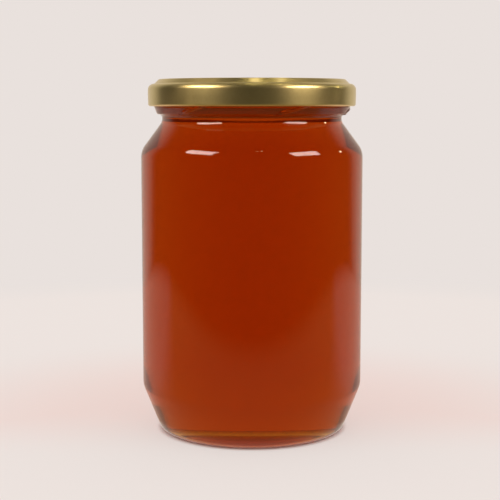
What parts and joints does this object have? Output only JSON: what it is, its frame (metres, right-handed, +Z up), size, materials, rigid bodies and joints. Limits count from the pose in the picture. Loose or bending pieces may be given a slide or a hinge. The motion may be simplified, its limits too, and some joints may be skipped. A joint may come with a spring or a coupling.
{
  "type": "honey jar",
  "caption": "Shut round glass jar filled with dark honey, with a sloped shoulder, a tapered foot and a gold twist-off steel lid.",
  "frame": {"origin": "centre of the jar's foot, on the surface that it stands on", "axes": "+Z up along the jar's axis, -Y towards the viewer of the picture, +X to the viewer's right"},
  "size_m": [0.091, 0.091, 0.1448],
  "materials": {
    "glass": "clear flint glass, smooth",
    "honey": null,
    "lid": "gold lacquer on pressed tinplate, satin gloss"
  },
  "bodies": {
    "root": {"glass_jar": "glass", "honey": "honey", "lid": "lid"}
  },
  "joints": []
}
